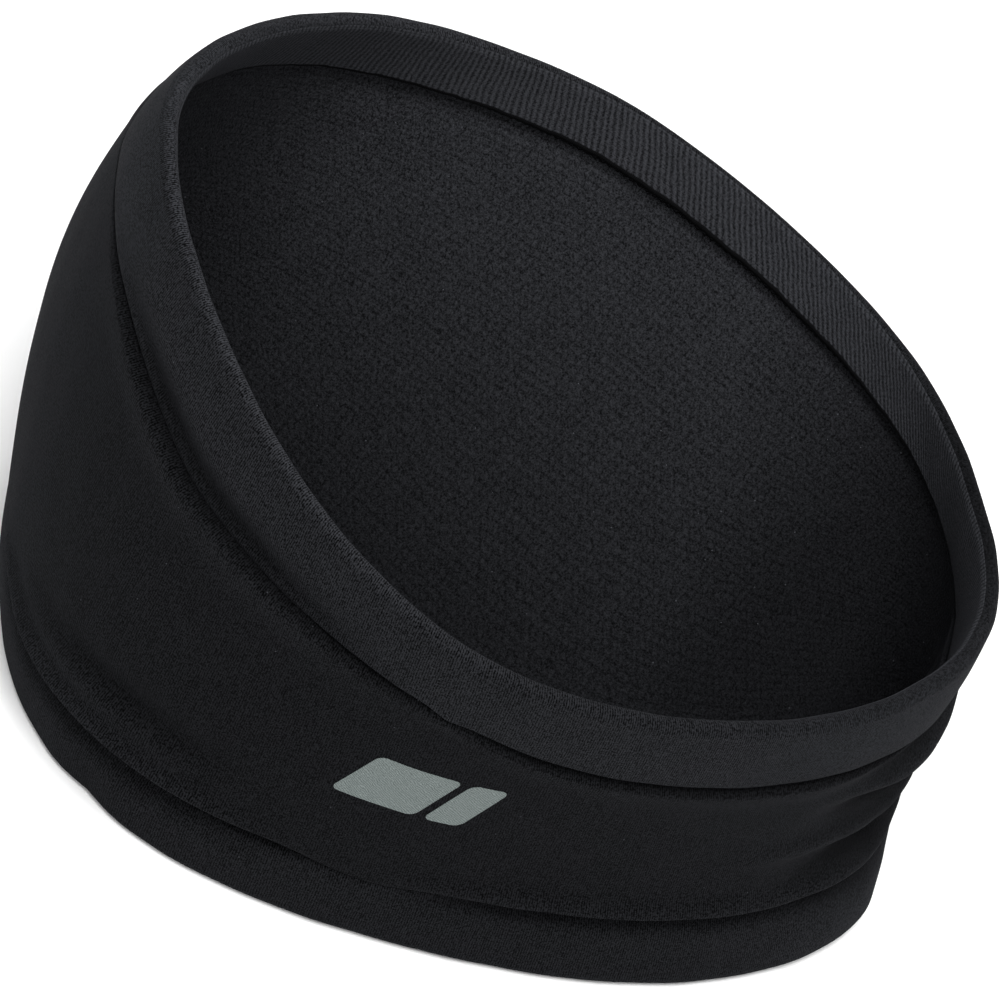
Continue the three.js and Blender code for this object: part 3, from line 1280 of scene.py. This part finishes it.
def frame_offset(wall: Wall) -> Array:
    """Finds where the wall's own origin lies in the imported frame.

    The body's box is centred on the wall between the hems, so their middles are brought together.

    Args:
        wall: The wall, still on its own origin.

    Returns:
        The move that takes the wall into the frame.
    """
    low, high = (np.array(corner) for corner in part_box("band_body"))
    angle = np.broadcast_to(Ring(80).angles(), (80, 7))
    foot, head = PACKED_HEM, wall.slope(angle) - PACKED_HEM
    points = wall.middle(angle, foot + (head - foot) * np.linspace(0, 1, 7)).reshape(-1, 3)
    move = (low + high - points.min(0) - points.max(0)) / 2
    move[2] = 0.0
    return move


def make_cloth(wall: Wall, cloth: Cloth, thread: Material) -> None:
    """Makes the body and the two hems, as sheets of the knit."""
    ring = Ring()
    jersey = KnitFinish("jersey", tone=0.0040, leg_share=0.08).material()
    # Both hems are the same jersey: the upper hem's lighter tone is painted light and the lower hem's
    # darker tone is painted shade.
    lit_and_shaded_hem_tones = {Edge.UPPER: 0.0088, Edge.LOWER: 0.0058}
    rib, pile = RibFinish().material(), BrushedFinish().material()
    body = Body(wall, cloth, ring).build()
    dress(body, [jersey, pile], ["band_body"])
    for edge, tone in lit_and_shaded_hem_tones.items():
        face = KnitFinish(f"{edge.value}_hem_jersey", tone=tone).material()
        hem = Hem(f"turned_{edge.value}_hem", wall, cloth, ring, edge).build()
        dress(hem, [face, rib, thread], [f"{edge.value}_hem"])


def make_threads(wall: Wall, cloth: Cloth, thread: Material) -> None:
    """Makes the stitches in the groove and inside the hem of each edge."""
    kinds = {
        "seam": {"distance": 0.0, "out": -0.05 * MM, "dive": 0.10 * MM, "sway": 0.0},
        "edge": {
            "distance": 0.35 * MM,
            "out": -cloth.ply / 2 - 0.30 * MM,
            "dive": 0.15 * MM,
            "sway": 0.25 * MM,
            "stitch": 1.5 * MM,
        },
    }
    for edge in Edge:
        for kind, sizes in kinds.items():
            node = f"{edge.value}_{kind}_thread"
            stitches = SeamThread(f"{node}_stitches", wall, edge, **sizes).build()
            dress(stitches, [thread], [node])


def make_film(wall: Wall, cloth: Cloth) -> None:
    """Makes the two bars of reflective film, just clear of the cloth."""
    film = FilmFinish().material()
    out = cloth.ply / 2 + 0.03 * MM
    for part, start, end in (("long", -12.4 * MM, 3.6 * MM), ("short", 5.4 * MM, 12.4 * MM)):
        bar = Film(f"film_bar_{part}", wall, start, end, out).build()
        dress(bar, [film], [f"reflective_film_{part}"])


def main() -> None:
    """Builds the headband's pieces in order, dresses them, and sets the stage."""
    logging.basicConfig(level=logging.INFO, format="%(name)s: %(message)s")
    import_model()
    cloth = Cloth()
    wall = Wall(UPPER_RIM, LOWER_RIM, upper_line=UPPER_LINE, lower_line=LOWER_LINE)
    wall.offset = frame_offset(wall)
    wall.folds = (*TEMPLE_FOLDS, *RIGHT_FOLDS, *NAPE_FOLDS)
    Studio(tuple(wall.offset + LOOKED_AT)).build()
    thread = ThreadFinish().material()
    make_cloth(wall, cloth, thread)
    make_threads(wall, cloth, thread)
    make_film(wall, cloth)


if __name__ == "__main__":
    main()
